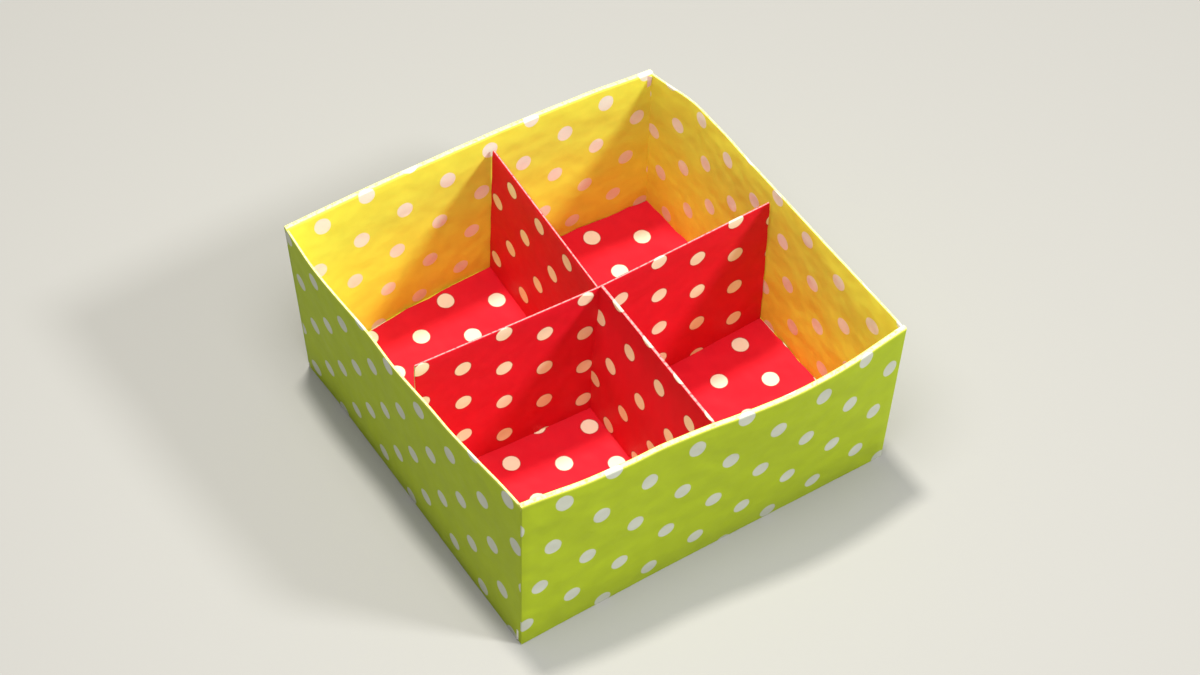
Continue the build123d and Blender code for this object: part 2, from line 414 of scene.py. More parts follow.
@dataclass(frozen=True)
class DotLattice:
    """Evenly spaced round dots in staggered rows, as printed on the flat sheet."""

    spacing: float
    diameter: float
    angle: float
    origin: Pair
    edge: float = 0.07  # half width of a dot's soft edge
    wobble: float = 0.10  # how far the edge strays from a circle
    wobble_scale: float = 1.3

    def reach(self, tree: Tree) -> Socket:
        """Add the nodes that measure how far a point lies from the middle of its dot.

        Args:
            tree: The material's node tree.

        Returns:
            The distance in millimetres.
        """
        sheet = add_node(tree, "ShaderNodeUVMap", {"uv_map": "print"}).outputs["UV"]
        start = {0: sheet, 1: (*self.origin, 0)}
        placed = add_node(tree, "ShaderNodeVectorMath", {"operation": "SUBTRACT"}, start).outputs[0]
        turn = {"Vector": placed, "Angle": -math.radians(self.angle)}
        turned = add_node(tree, "ShaderNodeVectorRotate", {"rotation_type": "Z_AXIS"}, turn).outputs[0]
        cell = Vector((self.spacing / 2, self.spacing * math.sqrt(3) / 2, 0))
        corner = cell + Vector((0, 0, 1))
        step = {0: turned, 1: cell}
        between = add_node(tree, "ShaderNodeVectorMath", {"operation": "ADD"}, step).outputs[0]
        spans = {}
        for row, place in enumerate((turned, between)):
            bounds = {0: place, 1: corner, 2: -corner}
            local = add_node(tree, "ShaderNodeVectorMath", {"operation": "WRAP"}, bounds).outputs[0]
            span = add_node(tree, "ShaderNodeVectorMath", {"operation": "LENGTH"}, {0: local})
            spans[row] = span.outputs["Value"]
        nearest = add_node(tree, "ShaderNodeMath", {"operation": "MINIMUM"}, spans).outputs[0]
        waves = {"Vector": sheet, "Scale": self.wobble_scale, "Detail": 2.0}
        ragged = add_node(tree, "ShaderNodeTexNoise", None, waves).outputs[0]
        edge = {0: ragged, 1: self.wobble, 2: nearest}
        return add_node(tree, "ShaderNodeMath", {"operation": "MULTIPLY_ADD"}, edge).outputs[0]

    def inside(self, tree: Tree, reach: Socket, grow: float) -> Socket:
        """Add the node that is 1 on a dot and 0 off it, for dots grown by a margin.

        Args:
            tree: The material's node tree.
            reach: How far a point lies from the middle of its dot.
            grow: The margin.

        Returns:
            The share of the dot's ink.
        """
        radius = self.diameter / 2 + self.wobble / 2 + grow
        plan = {"interpolation_type": "SMOOTHSTEP"}
        span = {"Value": reach, "From Min": radius + self.edge, "From Max": radius - self.edge}
        return add_node(tree, "ShaderNodeMapRange", plan, span).outputs["Result"]


@dataclass(frozen=True)
class PrintedPaper:
    """Uncoated craft paper of about 70 grams, printed on one side in flat spot colours.

    The print dries matt, the fibres show as a fine grain, and each crease loses a little ink,
    so that the white of the sheet shows along it. The ramps of ground and dot colours along the
    sheet, and a crease's band, can also hold painted light, as the lime paper's do. Scales are in
    waves per millimetre.
    """

    name: str
    dots: DotLattice
    # Ramps of the ground and dot colours along the sheet. Besides the ink they may hold painted glow, as the
    # lime paper's do inside the box.
    ground_and_painted_glow: Stops
    dot_colours_and_painted_glow: Stops
    # Colour and bands of the lighter print along creases: worn fibres where the white shows through, and on
    # the lime rim also a painted highlight.
    wear_and_highlight: str
    wear_and_highlight_bands: tuple[tuple[float, float, float], ...]
    reach: float = 120.0  # length that the colour ramps span
    overlap: Optional[str] = None
    overlap_width: float = 0.10  # where the two inks print over each other
    core: str = "#F2EEE6"
    roughness: float = 0.62
    specular: float = 0.2
    refraction: float = 1.5
    mottle: Pair = (0.95, 1.04)  # darkest and lightest share of the ink
    mottle_scale: float = 0.35
    fibre_scale: float = 2.2
    worn_patches: Pair = (0.30, 0.52)  # fibre heights that keep and lose their ink
    grain: float = 0.16  # width of one grain, coarser than a real fibre so that it shows
    grain_depth: float = 0.03
    grain_strength: float = 0.35
    buckle_scale: float = 0.16
    buckle_depth: float = 0.9
    buckle_strength: float = 0.55

    def shades(self, tree: Tree, along: Socket, stops: Stops) -> Socket:
        """Add a colour ramp along the sheet.

        Args:
            tree: The material's node tree.
            along: Place along the sheet, as a share of the reach.
            stops: Each colour with its place in millimetres.

        Returns:
            The colour.
        """
        ramp = add_node(tree, "ShaderNodeValToRGB", None, {0: along})
        marks = ramp.color_ramp.elements
        while len(marks) < len(stops):
            marks.new(0.5)
        for mark, (place, code) in zip(marks, stops):
            mark.position = place / self.reach
            mark.color = linear(code)
        return ramp.outputs["Color"]

    def relief(self, tree: Tree, sheet: Socket) -> Socket:
        """Add the paper's relief, which is too fine for the mesh.

        Args:
            tree: The material's node tree.
            sheet: The map of the flat sheet.

        Returns:
            The normal of the surface.
        """
        swells = {"Vector": sheet, "Scale": self.buckle_scale, "Detail": 2.0}
        buckles = add_node(tree, "ShaderNodeTexNoise", None, swells).outputs[0]
        soft = {"Strength": self.buckle_strength, "Distance": self.buckle_depth * MM, "Height": buckles}
        bent = add_node(tree, "ShaderNodeBump", None, soft).outputs["Normal"]
        fibres = {"Vector": sheet, "Scale": 1 / self.grain, "Detail": 4.0, "Roughness": 0.65}
        grain = add_node(tree, "ShaderNodeTexNoise", None, fibres).outputs[0]
        fine = {"Strength": self.grain_strength, "Distance": self.grain_depth * MM, "Height": grain}
        return add_node(tree, "ShaderNodeBump", None, {**fine, "Normal": bent}).outputs["Normal"]

    def build(self) -> bpy.types.Material:
        """Make the material.

        Returns:
            The finished material.
        """
        material = bpy.data.materials.new(self.name)
        tree = empty_tree(material)
        sheet = add_node(tree, "ShaderNodeUVMap", {"uv_map": "sheet"}).outputs["UV"]
        folded = add_node(tree, "ShaderNodeVectorMath", {"operation": "ABSOLUTE"}, {0: sheet})
        parts = add_node(tree, "ShaderNodeSeparateXYZ", None, {0: folded.outputs[0]}).outputs
        sides = {0: parts["X"], 1: parts["Y"]}
        far = add_node(tree, "ShaderNodeMath", {"operation": "MAXIMUM"}, sides).outputs[0]
        share = {0: far, 1: self.reach}
        along = add_node(tree, "ShaderNodeMath", {"operation": "DIVIDE"}, share).outputs[0]
        reach = self.dots.reach(tree)
        blend = {"data_type": "RGBA"}
        # The ground ramp, which on the lime paper also paints the glow of light inside the box.
        colour = self.shades(tree, along, self.ground_and_painted_glow)
        if self.overlap:
            inks = {0: self.dots.inside(tree, reach, self.overlap_width), 6: colour, 7: linear(self.overlap)}
            colour = add_node(tree, "ShaderNodeMix", blend, inks).outputs[2]
        # The dot ramp, which on the lime paper holds the same painted glow inside the box.
        dot, dot_ink_and_glow = self.dots.inside(tree, reach, 0.0), self.shades(tree, along, self.dot_colours_and_painted_glow)
        inks = {0: dot, 6: colour, 7: dot_ink_and_glow}
        colour = add_node(tree, "ShaderNodeMix", blend, inks).outputs[2]
        waves = {"Vector": sheet, "Scale": self.mottle_scale, "Detail": 6.0}
        cloud = add_node(tree, "ShaderNodeTexNoise", None, waves).outputs[0]
        dark, light = self.mottle
        span = {"Value": cloud, "From Min": 0.3, "From Max": 0.7, "To Min": dark, "To Max": light}
        shade = add_node(tree, "ShaderNodeMapRange", None, span).outputs["Result"]
        shaded = {**blend, "blend_type": "MULTIPLY"}
        colour = add_node(tree, "ShaderNodeMix", shaded, {0: 1.0, 6: colour, 7: shade}).outputs[2]
        fibre_waves = {"Vector": sheet, "Scale": self.fibre_scale, "Detail": 5.0}
        fibres = add_node(tree, "ShaderNodeTexNoise", None, fibre_waves).outputs[0]
        kept, lost = self.worn_patches
        # Lighten the print along each crease band: wear of the fibres, and on the lime rim also a painted
        # highlight.
        for start, end, strength in self.wear_and_highlight_bands:
            crease = {0: far, 1: (start + end) / 2, 2: (end - start) / 2}
            band = add_node(tree, "ShaderNodeMath", {"operation": "COMPARE"}, crease).outputs[0]
            span = {"Value": fibres, "From Min": kept, "From Max": lost, "To Max": strength}
            patchy = add_node(tree, "ShaderNodeMapRange", None, span).outputs["Result"]
            both = {0: band, 1: patchy}
            wear_and_highlight_share = add_node(tree, "ShaderNodeMath", {"operation": "MULTIPLY"}, both).outputs[0]
            inks = {0: wear_and_highlight_share, 6: colour, 7: linear(self.wear_and_highlight)}
            colour = add_node(tree, "ShaderNodeMix", blend, inks).outputs[2]
        bare = add_node(tree, "ShaderNodeAttribute", {"attribute_name": "bare"}).outputs["Fac"]
        inks = {0: bare, 6: colour, 7: linear(self.core)}
        inputs = {
            "Base Color": add_node(tree, "ShaderNodeMix", blend, inks).outputs[2],
            "Roughness": self.roughness,
            "Specular IOR Level": self.specular,
            "IOR": self.refraction,
            "Normal": self.relief(tree, sheet),
        }
        shader = add_node(tree, "ShaderNodeBsdfPrincipled", None, inputs)
        add_node(tree, "ShaderNodeOutputMaterial", None, {"Surface": shader.outputs[0]})
        return material


@dataclass
class FoldedBox:
    """The outer box: one sheet, folded as a masu with two wrapped and two plain walls.

    A rim or base row says how far a wall stands outside a true square at its lattice points, from
    left to right for the front and back and from front to back for the sides. A slip has the six
    terms of a quadratic shift of the print over a wall, along X and then along Y.
    """

    side: float = BOX_SHEET / (2 * math.sqrt(2))
    paper: float = 0.10
    layer_gap: float = 0.03
    wrap_depth: float = 0.84
    plain_depth: float = 0.32
    flap_gap: float = 0.12
    wrap_fold: float = 0.40  # radius along both edges of a rim fold
    plain_fold: float = 0.15
    fold_segments: int = 5
    corner_round: float = 0.07
    foot_round: float = 0.10
    tuck: float = 1.2  # how far a plain wall's outer layer runs into the wrap wall
    end_inset: float = 0.16  # of the layers that show at the end of a rim fold
    end_depth: Pair = (0.12, 0.02)
    end_height: float = 1.0
    columns: int = 40
    rows: int = 5
    rim_front: Row = (-2.3, -1.35, -0.68, -0.4, 0.4, 1.3, 1.56, 1.12, 0.35)
    rim_right: Row = (1.6, 1.5, 1.33, 1.2, 1.08, 0.95, 0.9, 0.4, -1.35)
    rim_back: Row = (1.44, 1.45, 1.4, 1.22, 1.0, 0.7, 0.3, -0.25, -1.0)
    rim_left: Row = (0.1, 0.63, 1.25, 1.55, 1.9, 1.8, 2.1, 2.17, 1.7)
    base_front: Row = (-0.53, -0.57, -0.58, -0.58, -0.5, -0.42, -0.3, -0.2, -0.1)
    base_right: Row = (0.9, 1.0, 1.05, 1.05, 0.95, 0.6, 0.2, -0.25, -0.6)
    base_back: Row = (-1.4, -0.3, 0.4, 0.7, 0.8, 0.5, 0.1, -0.4, -0.9)
    base_left: Row = (0.77, 0.72, 0.68, 0.6, 0.5, 0.42, 0.38, 0.35, 0.5)
    slips: dict[Side, tuple[Row, Row]] = field(
        default_factory=lambda: {
            Side.BACK: ((-0.93, 0.88, -0.72, 1.01, 0.03, 1.96), (-2.04, 0.37, -3.35, 1.52, -0.11, 4.58)),
            Side.RIGHT: ((-1.72, -0.86, -0.34, -0.09, 0.19, 1.65), (-1.50, 0.81, -0.29, 0.02, -0.14, 2.27)),
            Side.LEFT: ((0.35, -0.08, 0.22, 2.21, 1.37, -0.04), (1.33, 0.25, -0.11, 1.63, 0.57, 0.46)),
            Side.FRONT: ((1.13, 0.71, -0.11, 0.59, -0.11, 2.24), (1.06, 0.40, -2.01, 0.39, -1.05, 4.53)),
        }
    )
    slip_middles: dict[Side, Pair] = field(
        default_factory=lambda: {
            Side.FRONT: (-4.1, -40.0),
            Side.LEFT: (-42.1, 0.9),
            Side.BACK: (1.4, 61.0),
            Side.RIGHT: (60.9, -4.1),
        }
    )

    @property
    def half(self) -> float:
        """Half of the outer side, which is also the wall's height."""
        return self.side / 2

    def printed(self, side: Side, place: Vector) -> Pair:
        """Where a point of a wall falls in the printed pattern.

        The layer of each wall that the picture shows has its slip in full. The other layer keeps
        that of the edge that they share, and it fades out in the bottom.

        Args:
            side: Which wall.
            place: The point on the flat strip.

        Returns:
            The place in the pattern.
        """
        outer_shown = side in (Side.FRONT, Side.LEFT)
        start = self.half if outer_shown else self.side + self.wrap_depth
        length = min(max(-place.y, start), start + self.half)
        shown = side.turn(Vector((place.x, -length, 0)))
        x, y, _ = (shown - Vector((*self.slip_middles[side], 0))) / self.half
        terms = (1.0, x, y, x * x, x * y, y * y)
        slip_x, slip_y = (sum(k * t for k, t in zip(row, terms)) for row in self.slips[side])
        share = min(-place.y / self.half, 1)
        flat = side.turn(place)
        return flat.x + slip_x * share, flat.y + slip_y * share

    def laid(self, place: Vector, edge: float, depth: float) -> Vector:
        """A point of the flat strip, with its rim fold counted as that of a wrap wall.

        Args:
            place: The point on the flat strip.
            edge: Length from the middle of the sheet to the rim.
            depth: Width of the rim fold.

        Returns:
            The point that the maps go by.
        """
        length = -place.y
        if length <= edge:
            length *= self.side / edge
        elif length <= edge + depth:
            length = self.side + (length - edge) * self.wrap_depth / depth
        else:
            length += self.side + self.wrap_depth - edge - depth
        return Vector((place.x, -length, 0))

    def cut_out(self, side: Side, rim: float, depth: float) -> tuple[Workpiece, Row]:
        """Cut out one quarter of the sheet, score its folds and write its maps.

        Args:
            side: Which wall.
            rim: Height of the wall, and half of its width.
            depth: Width of its rim fold.

        Returns:
            The flat strip, and where its four folds cross it.
        """
        floor = self.paper * 2 + self.layer_gap
        base, edge = -self.half, -self.half - rim
        over, foot = edge - depth, edge - depth - rim + floor
        tip = foot - self.half + depth + self.flap_gap
        spread = self.half - self.wrap_depth - self.flap_gap
        work = Workpiece.flat_sheet(f"strip_{side.name.lower()}", 2 * self.half, -tip, self.columns)
        steps = [self.half * n / self.rows for n in range(1, self.rows)]
        lines = [base, edge, over, foot]
        for start in (0, base, over, foot):
            lines += [start - step for step in steps]
        for line in lines:
            work.score(Vector((0, line, 0)), Vector((0, 1, 0)))
        for hand in (-1, 1):
            across = Vector((hand, 0, 0))
            work.score(Vector(), Vector((hand, 1, 0)), lambda m: m.y > base, cut=True)
            work.score(across * rim, across, lambda m: foot < m.y < base, cut=True)
            slope = Vector((hand * (foot - tip), -spread, 0)).normalized()
            work.score(Vector((0, tip, 0)), slope, lambda m: m.y < foot, cut=True)
        work.write_map("sheet", lambda p, m, n: tuple(side.turn(self.laid(p, -edge, depth)).xy))
        work.write_map("print", lambda p, m, n: self.printed(side, self.laid(p, -edge, depth)))
        return work, (base, edge, over, foot)

    def wall(self, side: Side) -> Workpiece:
        """Fold one quarter of the sheet: a quarter of the bottom, a wall and its floor flap.

        Args:
            side: Which wall.

        Returns:
            The folded strip in its place.
        """
        pressed = self.paper + self.layer_gap
        rim, depth, fold, turned_in = self.half, self.wrap_depth, self.wrap_fold, pressed + self.paper
        if not side.wraps:
            rim, turned_in = self.half - 2 * pressed, self.tuck
            depth, fold = self.plain_depth, self.plain_fold
        work, (base, edge, over, foot) = self.cut_out(side, rim, depth)
        for line, degrees in ((foot, 90), (over, -90), (edge, -90), (base, -90)):
            crease = Vector((0, line, 0))
            work.turn(lambda p: p.y < line - NEAR or abs(p.z) > NEAR, crease, Axis.X, degrees)
        wall, back = -self.half, -self.half + depth
        for place in (wall, back):
            work.soften(lambda p: near(p.y, place) and near(p.z, rim), fold, self.fold_segments)

        def is_corner(p: Vector) -> bool:
            """Whether a point is on an upright edge of the outer layer, under the rim fold."""
            return near(abs(p.x), rim) and near(p.y, wall) and p.z < rim - fold + NEAR

        work.extrude(is_corner, Vector((0, turned_in, 0)))
        work.soften(is_corner, self.corner_round, 2)
        if side.wraps:
            for hand in (-1, 1):
                across = Vector((hand, 0, 0))
                trimmed = across * (rim - self.paper / 2)
                work.score(trimmed, across, lambda m: near(m.y, back) and m.z < rim - fold, cut=True)
        work.soften(lambda p: near(p.y, wall) and near(p.z, 0), self.foot_round, 2)
        work.turn(anywhere, Vector(), Axis.Z, side.value)
        return work

    def layers_behind(self, side: Side, hand: int) -> Workpiece:
        """The corner layers that lie under a wrap wall's rim fold and show at its end.

        Args:
            side: Which wrap wall.
            hand: 1 for the right end and -1 for the left, seen from outside.

        Returns:
            The end of the stack of layers.
        """
        half, inset, (deep, shallow) = self.half, self.end_inset, self.end_depth
        low = Vector((hand * (half - deep), inset - half, half - self.end_height))
        high = Vector((hand * (half - shallow), self.wrap_depth - inset - half, half - inset / 2))
        work = Workpiece.block(f"layers_{side.name.lower()}_{hand}", low, high)
        # The layers take the colour of the middle of the rim fold, with its painted highlight.
        for name in ("sheet", "print"):
            work.write_map(name, lambda p, m, n: (0.0, self.side + self.wrap_depth / 2))
        work.turn(anywhere, Vector(), Axis.Z, side.value)
        return work

    def lean(self, across: int, along: int, up: int) -> Vector:
        """How far a lattice point is off a true square box, with its outer rows held straight.

        Args:
            across: The point's count along X.
            along: Its count along Y.
            up: 1 at the rim and 0 at the base.

        Returns:
            How far it moves.
        """
        last = len(self.rim_front) - 1
        right, left = (self.rim_right, self.rim_left) if up else (self.base_right, self.base_left)
        back, front = (self.rim_back, self.rim_front) if up else (self.base_back, self.base_front)
        share_x = min(max((across - 1) / (last - 2), 0), 1)
        share_y = min(max((along - 1) / (last - 2), 0), 1)
        move_x = right[along] * share_x - left[along] * (1 - share_x)
        move_y = back[across] * share_y - front[across] * (1 - share_y)
        return Vector((move_x, move_y, 0))

    def build(self, material: bpy.types.Material) -> None:
        """Fold the four quarters, join them, bend them as the hand left them and dress them.

        Args:
            material: The box's paper.
        """
        sheet, *rest = [self.wall(side) for side in Side]
        ends = [self.layers_behind(side, hand) for side in Side if side.wraps for hand in (-1, 1)]
        sheet.take_in(rest)
        sheet.piece.name = "green_sheet"
        count = len(self.rim_front)
        low = Vector((-self.half, -self.half, 0))
        high = Vector((self.half, self.half, self.half))
        sheet.bend(low, high, (count, count), True, self.lean)
        sheet.thicken(self.paper, even=True)
        for end in ends:
            end.bend(low, high, (count, count), True, self.lean)
        sheet.take_in(ends)
        sheet.finish(material, "box_paper", "folded_box")


@dataclass
class PleatedDivider:
    """The divider: one smaller sheet with four pleats that stand up between its squares.

    A spine or edge row says how far the pleats' feet and ends stand aside at the lattice points.
    A spot is a dot's middle on one face with the turn of that face's pattern in radians.
    """

    reach_x: float = 25.8965
    reach_y: float = 25.3765
    floor: float = 0.33
    floor_band: float = 1.0  # height within which a level face belongs to a floor square
    top: float = 24.06
    ridge: float = 24.32
    thin: float = 0.16
    thick: float = 0.68
    pinch: float = 0.95
    pinch_start: float = 9.0
    crest_wear: float = 0.45  # share by which the wide front crest shrinks into the worn band
    crest_round: float = 0.14
    top_round: float = 0.11
    round_segments: int = 3
    paper: float = 0.10
    step: float = 1.7
    spacing: float = 6.731
    spine_x: Row = (0.3, 0.45, 0.62, 1.2, 1.8)
    spine_y: Row = (2.1, 1.2, 0.35, 0.3, 0.3)
    edge_left: Row = (0.4, 0.4, -0.8, 0.4, 0.3)
    edge_right: Row = (0.85, 0.95, 0.75, 0.15, -0.45)
    edge_front: Row = (-0.8, -0.6, -0.5, -0.45, -0.4)
    edge_back: Row = (-0.9, 0.35, 0.75, 0.0, -0.95)
    foot_right: float = 0.40
    foot_back: float = 0.25
    foot_y: Row = (-0.4, -0.6, -0.5, -0.3, 0.0)
    curl_reach: float = 2.5
    curl_rise: float = 0.16
    curl_waves: tuple[Row, ...] = ((0.12, 0.9, 0.4), (0.08, 2.3, 0.0))
    edge_waves: tuple[Row, ...] = ((0.05, 1.9, 0.0), (0.06, 0.7, 1.0))
    curl_root: float = 3.0  # distance from a pleat within which the curl fades out
    pleat_spots: dict[Side, Spot] = field(
        default_factory=lambda: {
            Side.LEFT: ((-19.30, 19.63), 0.0020),
            Side.RIGHT: ((9.33, 16.54), 0.0364),
            Side.BACK: ((7.05, 21.36), -0.0057),
            Side.FRONT: ((-4.22, 13.14), -0.0242),
        }
    )
    floor_spots: dict[tuple[int, int], Spot] = field(
        default_factory=lambda: {
            (-1, -1): ((13.06, 24.25), -0.0383),
            (1, -1): ((48.79, 24.40), 0.0153),
            (1, 1): ((42.34, 49.80), -0.0028),
            (-1, 1): ((20.09, 51.07), -0.0077),
        }
    )
    floor_middle: Pair = (0.6, 0.4)  # between the floor squares, once they are bent

    @property
    def ridge_middle(self) -> float:
        """Where the front pleat's top fold runs, beside the middle of its feet."""
        return self.pinch / 2

    def leaned(self, height: float) -> float:
        """How far the left face of the front pleat leans over to the right one at a height."""
        share = min(max((height - self.pinch_start) / (self.top - self.pinch_start), 0), 1)
        return self.pinch * math.sin(share * math.pi / 2) ** 2

    def pinched(self, place: Vector) -> Vector:
        """How far a point moves as the front pleat is pinched."""
        on_face = near(place.x, -self.thick) and place.y < NEAR - self.thin
        return Vector((self.leaned(place.z) if on_face else 0.0, 0, 0))

    def square(self, hand: int, back: int) -> Workpiece:
        """One floor square with the two pleat faces that stand on it.

        Args:
            hand: 1 on the right and -1 on the left.
            back: 1 at the back and -1 at the front.

        Returns:
            The three faces, printed side up and into the compartment.
        """
        inner_x = self.thin if back > 0 else self.thick
        foot = Vector((hand * inner_x, back * self.thin, self.floor))
        far = Vector((hand * self.reach_x, back * self.reach_y, self.top))
        work = Workpiece.block(f"square_{hand}_{back}", foot, far)
        work.flip()
        work.remove_faces(lambda m: min(abs(gap) for gap in m - far) < NEAR)
        for axis, sign, start, end in (
            (0, hand, self.thick, self.reach_x),
            (1, back, self.thin, self.reach_y),
            (2, 1, self.floor, self.top),
        ):
            direction = Vector(float(axis == other) for other in range(3))
            count = round((end - start) / self.step)
            for n in range(count):
                work.score(direction * sign * (start + (end - start) * n / count), direction)
        if back < 0:
            rise = Vector((0, 0, self.ridge - self.top))
            work.extrude(lambda p: near(p.z, self.top) and near(abs(p.x), self.thick), rise)
        if back < 0 and hand < 0:
            work.shift_points(self.pinched)
        return work

    def close_folds(self, sheet: Workpiece) -> None:
        """Join the faces of each pleat along its top, and close the middle of the cross.

        Args:
            sheet: The four squares.
        """
        thin, thick, top, ridge = self.thin, self.thick, self.top, self.ridge
        root = self.pinch - thick

        def on_side_top(p: Vector) -> bool:
            """Whether a point is on the open top of the left or right pleat's line."""
            return near(p.z, top) and near(abs(p.y), thin)

        sheet.bridge(lambda p: near(p.z, top) and near(abs(p.x), thin) and p.y > thin - NEAR)
        sheet.bridge(lambda p: near(p.z, ridge))
        sheet.bridge(lambda p: on_side_top(p) and p.x > thick - NEAR)
        sheet.bridge(lambda p: on_side_top(p) and (p.x < NEAR - thick or (p.y < 0 and near(p.x, root))))
        sheet.fill(lambda p: near(p.z, top) and abs(p.x) < thick + NEAR and abs(p.y) < thin + NEAR)
        sheet.fill(lambda p: p.z > top - NEAR and abs(p.x) < thick + NEAR and near(p.y, -thin))
        middle, radius, count = self.ridge_middle, self.top_round, self.round_segments
        for hand in (-1, 1):
            sheet.soften(lambda p: near(p.z, ridge) and (p.x - middle) * hand > 0.1, self.crest_round, count)
        for hand in (-1, 1):
            sheet.soften(
                lambda p: near(p.z, top) and near(p.x, hand * thin) and p.y > thin - NEAR, radius, count
            )
            for back in (-1, 1):
                sheet.soften(
                    lambda p: on_side_top(p) and p.y * back > 0 and p.x * hand > thick - NEAR, radius, count
                )

    def lean(self, across: int, along: int, up: int) -> Vector:
        """How far a lattice point is off a true cross.

        Args:
            across: The point's count along X.
            along: Its count along Y.
            up: 1 at the top and 0 at the foot.

        Returns:
            How far it moves.
        """
        left, right = -self.edge_left[along], self.edge_right[along] + self.foot_right * (1 - up)
        front, back = -self.edge_front[across], self.edge_back[across] + self.foot_back * (1 - up)
        spine_x, spine_y = self.spine_x[along], self.spine_y[across] + self.foot_y[across] * (1 - up)
        columns = (left, (left + spine_x) / 2, spine_x, (spine_x + right) / 2, right)
        rows = (front, (front + spine_y) / 2, spine_y, (spine_y + back) / 2, back)
        return Vector((columns[across], rows[along], 0))

    def ripple(self, waves: tuple[Row, ...], place: float) -> float:
        """Height of a few waves, each with its size, its pace and its start."""
        return sum(size * math.sin(place * pace + start) for size, pace, start in waves)

    def curl(self, place: Vector) -> Vector:
        """The cut edges of the floor squares, which wave and lift a little at the walls.

        Args:
            place: A point of the sheet.

        Returns:
            How far it moves.
        """
        to_x, to_y = self.reach_x - abs(place.x), self.reach_y - abs(place.y)
        if place.z > self.floor + NEAR:
            ragged = self.ripple(self.edge_waves, place.z)
            sides = ((place.x, to_x), (place.y, to_y))
            return Vector((*(math.copysign(ragged, side) if gap < NEAR else 0.0 for side, gap in sides), 0))
        wave = 0.0
        for gap, run in ((to_x, place.y), (to_y, place.x)):
            if gap < self.curl_reach:
                rise = (1 - gap / self.curl_reach) ** 2
                wave += rise * (self.curl_rise + self.ripple(self.curl_waves, run))
        pleat = min(abs(place.x), abs(place.y))
        return Vector((0, 0, wave * min(pleat / self.curl_root, 1)))

    def spots(self, u: float, v: float, spot: Spot) -> Pair:
        """Carry a point of one face into the printed pattern, which has a dot's middle at its origin."""
        (dot_u, dot_v), turn = spot
        return tuple(Matrix.Rotation(-turn, 2) @ Vector((u - dot_u, v - dot_v)))

    def is_floor(self, middle: Vector, normal: Vector) -> bool:
        """Whether a face is part of a floor square."""
        return normal.z > 0.5 and middle.z < self.floor + self.floor_band

    def map_pleats(self, sheet: Workpiece) -> None:
        """Write both maps on the pleats, which run over the fold from one face to the other.

        Args:
            sheet: The sheet, before it is bent.
        """
        thin, thick, top, ridge = self.thin, self.thick, self.top, self.ridge

        def unrolled(side: float, height: float, half: float, crest: float, middle: float = 0.0) -> float:
            """Length up one face, over the fold and down the other."""
            return height + side + half if side <= middle else 2 * crest + half - height + side

        def up_front(p: Vector) -> float:
            """Length up the front pleat's leaning face, over its fold and down the upright one."""
            lean = self.leaned(p.z) if p.x <= self.ridge_middle else self.pinch
            return unrolled(p.x, p.z, thick, ridge, self.ridge_middle) - lean

        def along_x(p: Vector, m: Vector, n: Vector) -> Pair:
            """The pattern on the pleats that run to the left and right."""
            spot = self.pleat_spots[Side.RIGHT if m.x > 0 else Side.LEFT]
            return self.spots(p.x, unrolled(p.y, p.z, thin, top), spot)

        def along_y(p: Vector, m: Vector, n: Vector) -> Pair:
            """The pattern on the pleats that run to the back and front."""
            up, side = (unrolled(p.x, p.z, thin, top), Side.BACK) if m.y > 0 else (up_front(p), Side.FRONT)
            return self.spots(p.y, up, self.pleat_spots[side])[::-1]

        def beside_x(p: Vector, m: Vector, n: Vector) -> Pair:
            """Length along the left or right pleat, and place beside its crest."""
            return p.x, CREST + top + thin - unrolled(p.y, p.z, thin, top)

        def beside_y(p: Vector, m: Vector, n: Vector) -> Pair:
            """The same for the back or front pleat."""
            front = self.crest_wear * (ridge + thick + self.ridge_middle - self.pinch - up_front(p))
            return p.y, CREST + (top + thin - unrolled(p.x, p.z, thin, top) if m.y > 0 else front)

        def runs_x(m: Vector, n: Vector) -> bool:
            """Whether a face is part of a pleat that runs to the left or right."""
            return not self.is_floor(m, n) and abs(m.y) < thin + NEAR

        def runs_y(m: Vector, n: Vector) -> bool:
            """Whether a face is part of a pleat that runs to the back or front."""
            return not self.is_floor(m, n) and abs(m.y) >= thin + NEAR

        for name, on_x, on_y in (("print", along_x, along_y), ("sheet", beside_x, beside_y)):
            sheet.write_map(name, on_x, runs_x)
            sheet.write_map(name, on_y, runs_y)

        def at_middle(m: Vector, n: Vector) -> bool:
            """Whether a face closes the middle of the cross, which shows no dot."""
            return m.z > top - NEAR and abs(m.x) < thick + NEAR and abs(m.y) < thin + NEAR

        sheet.write_map("print", lambda p, m, n: (0.0, self.spacing / 2), at_middle)

    def map_floors(self, sheet: Workpiece) -> None:
        """Write both maps on the floor squares.

        Args:
            sheet: The sheet, in its final place.
        """
        half = BOX_SHEET / (4 * math.sqrt(2))
        middle_x, middle_y = self.floor_middle

        def pattern(p: Vector, m: Vector, n: Vector) -> Pair:
            """The pattern on the floor square that a face belongs to."""
            spot = self.floor_spots[(1 if m.x > middle_x else -1, 1 if m.y > middle_y else -1)]
            return self.spots(p.x + half, p.y + half, spot)

        sheet.write_map("print", pattern, self.is_floor)
        sheet.write_map("sheet", lambda p, m, n: (p.x, p.y), self.is_floor)

